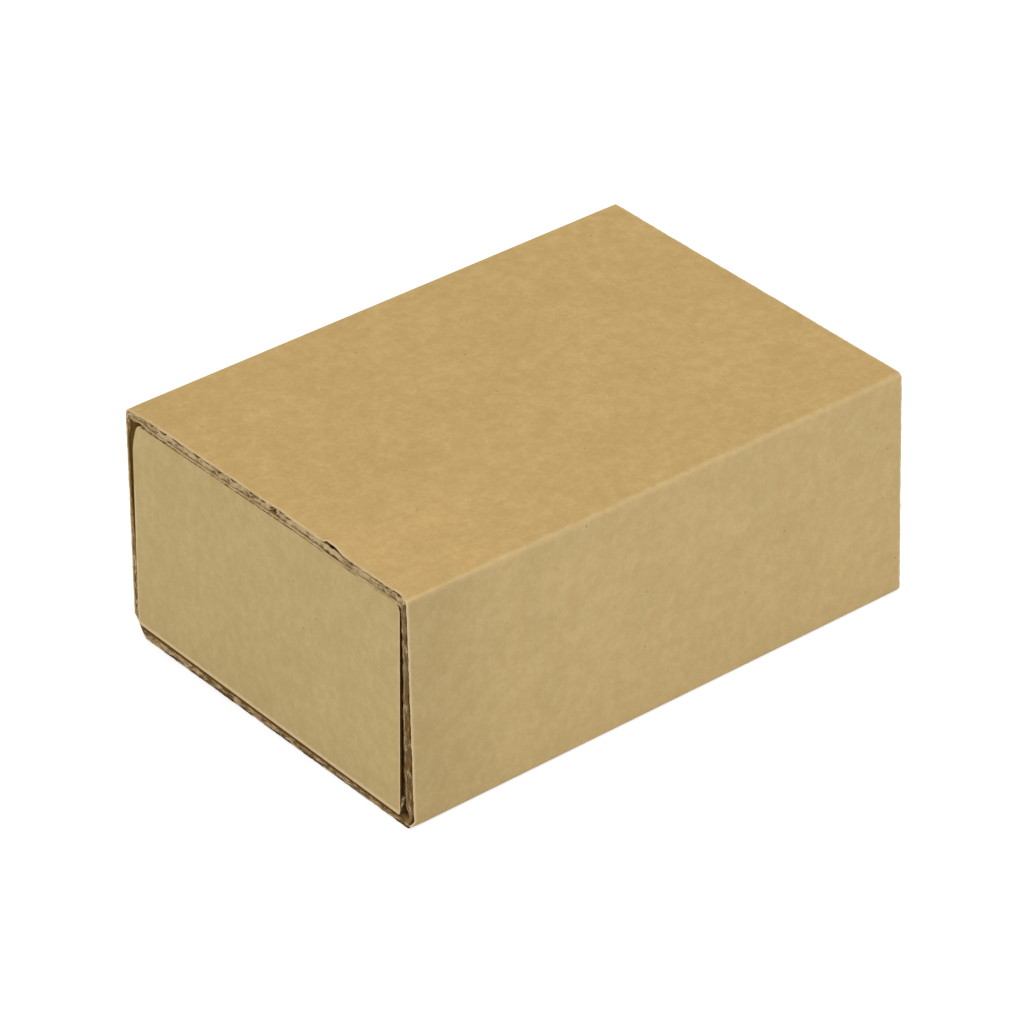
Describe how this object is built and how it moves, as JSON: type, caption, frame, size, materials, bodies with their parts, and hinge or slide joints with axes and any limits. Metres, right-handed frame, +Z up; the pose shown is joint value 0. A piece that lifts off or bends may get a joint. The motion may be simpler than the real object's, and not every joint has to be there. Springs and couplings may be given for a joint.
{
  "type": "cardboard slide box",
  "caption": "Small closed box of plain kraft corrugated board: an open-ended sleeve with a folded drawer tray that slides out of either end.",
  "frame": {"origin": "centre of the bounding box at its bottom face", "axes": "+X along the length, with the shown open end towards -X; +Y towards the far long side; +Z up"},
  "size_m": [0.1018, 0.0718, 0.0409],
  "materials": {
    "sleeve_board": "matte",
    "tray_board": "matte"
  },
  "bodies": {
    "sleeve": {"sleeve": "sleeve_board"},
    "tray": {"tray": "tray_board"}
  },
  "joints": [
    {"name": "tray_slide", "type": "slide", "parent": "sleeve", "child": "tray", "axis": [1, 0, 0], "range_m": [-0.104, 0.104]}
  ]
}
